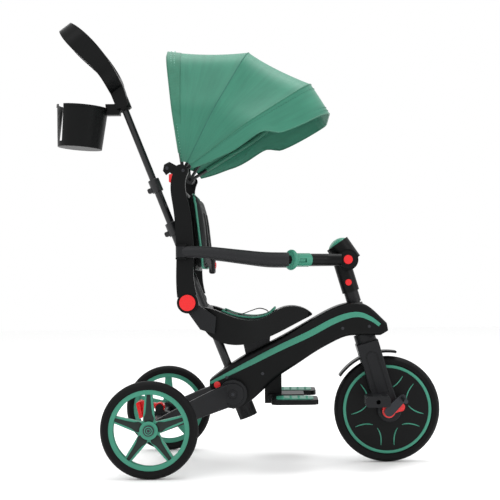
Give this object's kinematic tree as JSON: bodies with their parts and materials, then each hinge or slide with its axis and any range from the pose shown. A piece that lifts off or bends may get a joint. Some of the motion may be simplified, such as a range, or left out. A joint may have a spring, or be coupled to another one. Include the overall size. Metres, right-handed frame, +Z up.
{
  "type": "children's tricycle",
  "caption": "Child's folding tricycle with a push handle, pedal front wheel, steering fork, safety arms, folding canopy and cup holder.",
  "frame": {"origin": "on the ground, midway between the foremost and the rearmost point, on the centre plane", "axes": "+X forwards, +Y to the rider's left, +Z up"},
  "size_m": [0.9, 0.462, 1.0437],
  "materials": {
    "black_plastic": "fine-grained satin moulded plastic",
    "green_plastic": "satin moulded plastic",
    "red_plastic": "gloss moulded plastic",
    "black_steel": "powder coat",
    "bright_steel": "zinc plated",
    "tyre": "matt EVA tread",
    "foam": "soft foam sleeve",
    "green_fabric": "plain woven polyester",
    "black_fabric": "woven polyester and mesh"
  },
  "bodies": {
    "frame": {"frame_shell_right": "black_plastic", "frame_shell_left": "black_plastic", "frame_spine": "black_steel", "frame_fasteners": "bright_steel", "pole_lower": "black_steel", "pole_knob": "black_plastic", "seat_mount": "black_plastic", "seat_shell": "black_plastic", "seat_pad": "green_fabric", "footrest_post": "black_plastic"},
    "rear_fork": {"rear_leg_right": "black_plastic", "rear_leg_left": "black_plastic", "rear_axle": "bright_steel", "brake_housing": "black_plastic"},
    "brake_pedal": {"brake_pedal": "red_plastic"},
    "rear_wheel_right": {"rear_tyre_right": "tyre", "rear_rim_right": "green_plastic"},
    "rear_wheel_left": {"rear_tyre_left": "tyre", "rear_rim_left": "green_plastic"},
    "fork": {"front_fork": "black_plastic", "mudguard": "black_plastic"},
    "front_wheel": {"front_tyre": "tyre", "front_wheel_core": "black_plastic", "front_covers": "black_plastic", "front_crank": "bright_steel"},
    "pedal_right": {"pedal_right": "black_plastic"},
    "pedal_left": {"pedal_left": "black_plastic"},
    "clutch_dial": {"clutch_dial": "red_plastic"},
    "t_bar": {"t_bar_head": "black_plastic", "t_bar_cap": "green_plastic"},
    "stem_button": {"stem_button": "red_plastic"},
    "horn_right": {"horn_right": "black_plastic", "grip_end_right": "green_plastic"},
    "horn_left": {"horn_left": "black_plastic", "grip_end_left": "green_plastic"},
    "horn_button_right": {"horn_button_right": "red_plastic"},
    "horn_button_left": {"horn_button_left": "red_plastic"},
    "footrest_right": {"footrest_right": "black_plastic"},
    "footrest_left": {"footrest_left": "black_plastic"},
    "fold_button": {"fold_button": "red_plastic"},
    "backrest": {"backrest_frame": "black_plastic", "back_shell": "black_plastic", "back_pad": "black_fabric", "harness": "black_fabric", "rear_bow": "black_steel", "canopy_rear_panel": "green_fabric"},
    "back_button_right": {"back_button_right": "red_plastic"},
    "back_button_left": {"back_button_left": "red_plastic"},
    "arm_right": {"arm_core_right": "black_plastic", "arm_foam_right": "foam"},
    "arm_left": {"arm_core_left": "black_plastic", "arm_foam_left": "foam"},
    "canopy_middle": {"middle_bow": "black_steel", "canopy_front_panel": "green_fabric"},
    "canopy_front": {"front_bow": "black_steel", "canopy_visor": "green_fabric"},
    "handle_middle": {"pole_middle": "black_steel"},
    "handle_top": {"pole_upper": "black_steel", "handle_grip": "foam", "cup_holder": "black_plastic"}
  },
  "joints": [
    {"name": "rear_fold", "type": "hinge", "parent": "frame", "child": "rear_fork", "pos_m": [-0.03405, 0, 0.1685], "axis": [0, -1, 0], "range_deg": [0, 105]},
    {"name": "brake_press", "type": "hinge", "parent": "rear_fork", "child": "brake_pedal", "pos_m": [-0.20955, 0, 0.1335], "axis": [0, -1, 0], "range_deg": [0, 20], "stiffness_Nm_per_rad": 0.3},
    {"name": "rear_wheel_right_spin", "type": "hinge", "parent": "rear_fork", "child": "rear_wheel_right", "pos_m": [-0.21055, -0.215, 0.1075], "axis": [0, 1, 0], "continuous": true},
    {"name": "rear_wheel_left_spin", "type": "hinge", "parent": "rear_fork", "child": "rear_wheel_left", "pos_m": [-0.21055, 0.215, 0.1075], "axis": [0, 1, 0], "continuous": true},
    {"name": "steering", "type": "hinge", "parent": "frame", "child": "fork", "pos_m": [0.32745, 0, 0.125], "axis": [-0.284, 0, 0.9588], "range_deg": [-35, 35]},
    {"name": "front_wheel_spin", "type": "hinge", "parent": "fork", "child": "front_wheel", "pos_m": [0.32745, 0, 0.125], "axis": [0, 1, 0], "continuous": true},
    {"name": "pedal_right_spin", "type": "hinge", "parent": "front_wheel", "child": "pedal_right", "pos_m": [0.29634, -0.11, 0.15611], "axis": [0, 1, 0], "continuous": true},
    {"name": "pedal_left_spin", "type": "hinge", "parent": "front_wheel", "child": "pedal_left", "pos_m": [0.35856, 0.11, 0.09389], "axis": [0, 1, 0], "continuous": true},
    {"name": "clutch_turn", "type": "hinge", "parent": "front_wheel", "child": "clutch_dial", "pos_m": [0.32745, -0.044, 0.125], "axis": [0, 1, 0], "range_deg": [0, 40]},
    {"name": "handlebar_height", "type": "slide", "parent": "fork", "child": "t_bar", "axis": [-0.284, 0, 0.9588], "range_m": [-0.02, 0]},
    {"name": "grip_right_fold", "type": "hinge", "parent": "t_bar", "child": "horn_right", "pos_m": [0.23684, -0.038, 0.47842], "axis": [0, -1, 0], "range_deg": [-75, 0]},
    {"name": "grip_left_fold", "type": "hinge", "parent": "t_bar", "child": "horn_left", "pos_m": [0.23684, 0.038, 0.47842], "axis": [0, -1, 0], "range_deg": [-75, 0]},
    {"name": "grip_button_right_press", "type": "slide", "parent": "t_bar", "child": "horn_button_right", "axis": [0, 1, 0], "range_m": [0, 0.0025], "stiffness_N_per_m": 300},
    {"name": "grip_button_left_press", "type": "slide", "parent": "t_bar", "child": "horn_button_left", "axis": [0, -1, 0], "range_m": [0, 0.0025], "stiffness_N_per_m": 300},
    {"name": "height_button_press", "type": "slide", "parent": "t_bar", "child": "stem_button", "axis": [0, 1, 0], "range_m": [0, 0.0015], "stiffness_N_per_m": 300},
    {"name": "footrest_right_fold", "type": "hinge", "parent": "frame", "child": "footrest_right", "pos_m": [0.08895, -0.05, 0.158], "axis": [-1, 0, 0], "range_deg": [0, 85]},
    {"name": "footrest_left_fold", "type": "hinge", "parent": "frame", "child": "footrest_left", "pos_m": [0.08895, 0.05, 0.158], "axis": [1, 0, 0], "range_deg": [0, 85]},
    {"name": "fold_button_press", "type": "slide", "parent": "frame", "child": "fold_button", "axis": [0, 1, 0], "range_m": [0, 0.0025], "stiffness_N_per_m": 300},
    {"name": "backrest_fold", "type": "hinge", "parent": "frame", "child": "backrest", "pos_m": [-0.13005, 0, 0.383], "axis": [0, 1, 0], "range_deg": [0, 40]},
    {"name": "back_button_right_press", "type": "slide", "parent": "backrest", "child": "back_button_right", "axis": [0, 1, 0], "range_m": [0, 0.0015], "stiffness_N_per_m": 300},
    {"name": "back_button_left_press", "type": "slide", "parent": "backrest", "child": "back_button_left", "axis": [0, -1, 0], "range_m": [0, 0.0015], "stiffness_N_per_m": 300},
    {"name": "arm_right_swing", "type": "hinge", "parent": "backrest", "child": "arm_right", "pos_m": [-0.14205, -0.161, 0.497], "axis": [0, 0, -1], "range_deg": [0, 75]},
    {"name": "arm_left_swing", "type": "hinge", "parent": "backrest", "child": "arm_left", "pos_m": [-0.14205, 0.161, 0.497], "axis": [0, 0, 1], "range_deg": [0, 75]},
    {"name": "canopy_middle_fold", "type": "hinge", "parent": "backrest", "child": "canopy_middle", "pos_m": [-0.14145, 0, 0.68], "axis": [0, -1, 0], "range_deg": [0, 25]},
    {"name": "canopy_front_fold", "type": "hinge", "parent": "canopy_middle", "child": "canopy_front", "pos_m": [-0.14145, 0, 0.68], "axis": [0, -1, 0], "range_deg": [0, 25]},
    {"name": "handle_lower_slide", "type": "slide", "parent": "frame", "child": "handle_middle", "axis": [-0.3655, 0, 0.9308], "range_m": [-0.06, 0]},
    {"name": "handle_upper_slide", "type": "slide", "parent": "handle_middle", "child": "handle_top", "axis": [-0.3655, 0, 0.9308], "range_m": [-0.15, 0]}
  ],
  "couplings": [
    {"joint": "canopy_front_fold", "follows": "canopy_middle_fold", "ratio": 1}
  ]
}
